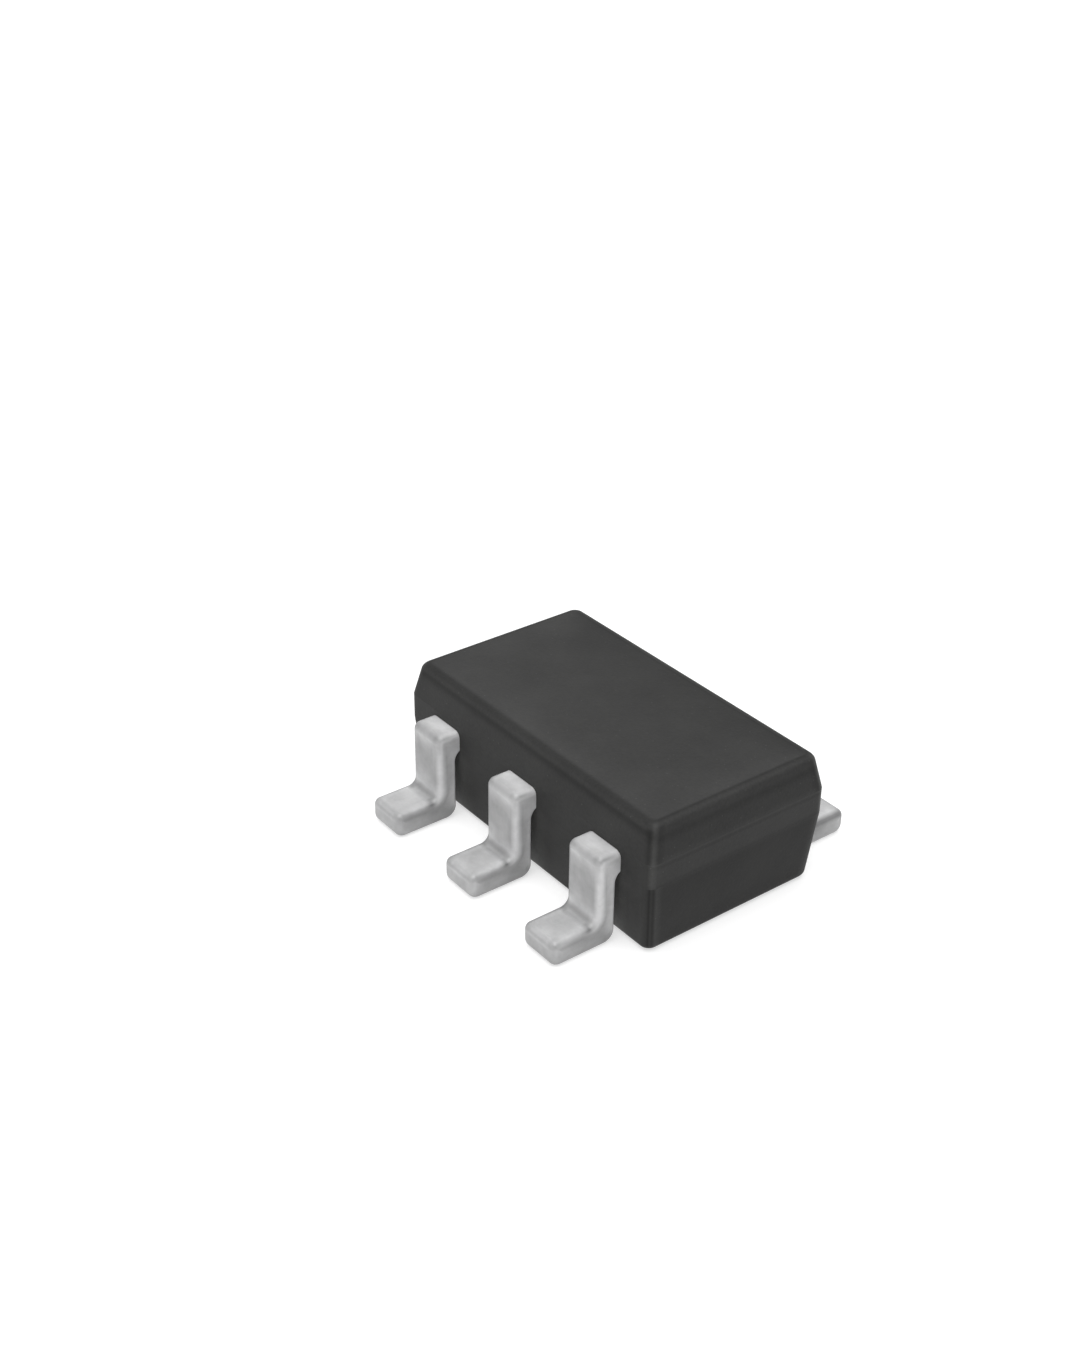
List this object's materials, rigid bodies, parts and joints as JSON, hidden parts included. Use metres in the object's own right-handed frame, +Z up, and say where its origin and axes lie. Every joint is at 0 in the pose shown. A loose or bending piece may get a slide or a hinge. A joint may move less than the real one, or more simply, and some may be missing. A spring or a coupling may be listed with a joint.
{
  "type": "operational amplifier chip",
  "caption": "Small surface-mount amplifier chip: a dark moulded body with a parting band, and formed tinned leads in a row of three facing a row of two.",
  "frame": {"origin": "centre of the bounding box on the plane that the five feet stand on", "axes": "+Z up, away from the circuit board; X along the body, with leads 1, 2 and 3 from -X to +X on the -Y side and leads 4 and 5 from +X to -X on the +Y side"},
  "size_m": [0.0028, 0.0028, 0.0011],
  "materials": {
    "mould_compound": "matte moulded epoxy, dark grey",
    "tinned_lead": "matte tin plating, satin",
    "silicon": "polished silicon, opaque dark grey",
    "die_adhesive": "silver filled adhesive",
    "gold_wire": "drawn gold"
  },
  "bodies": {
    "root": {"mould_body": "mould_compound", "lead_1": "tinned_lead", "lead_2_die_pad": "tinned_lead", "lead_3": "tinned_lead", "lead_4": "tinned_lead", "lead_5": "tinned_lead", "die_attach": "die_adhesive", "die": "silicon", "bond_wire_1": "gold_wire", "bond_wire_2": "gold_wire", "bond_wire_3": "gold_wire", "bond_wire_4": "gold_wire", "bond_wire_5": "gold_wire"}
  },
  "joints": []
}
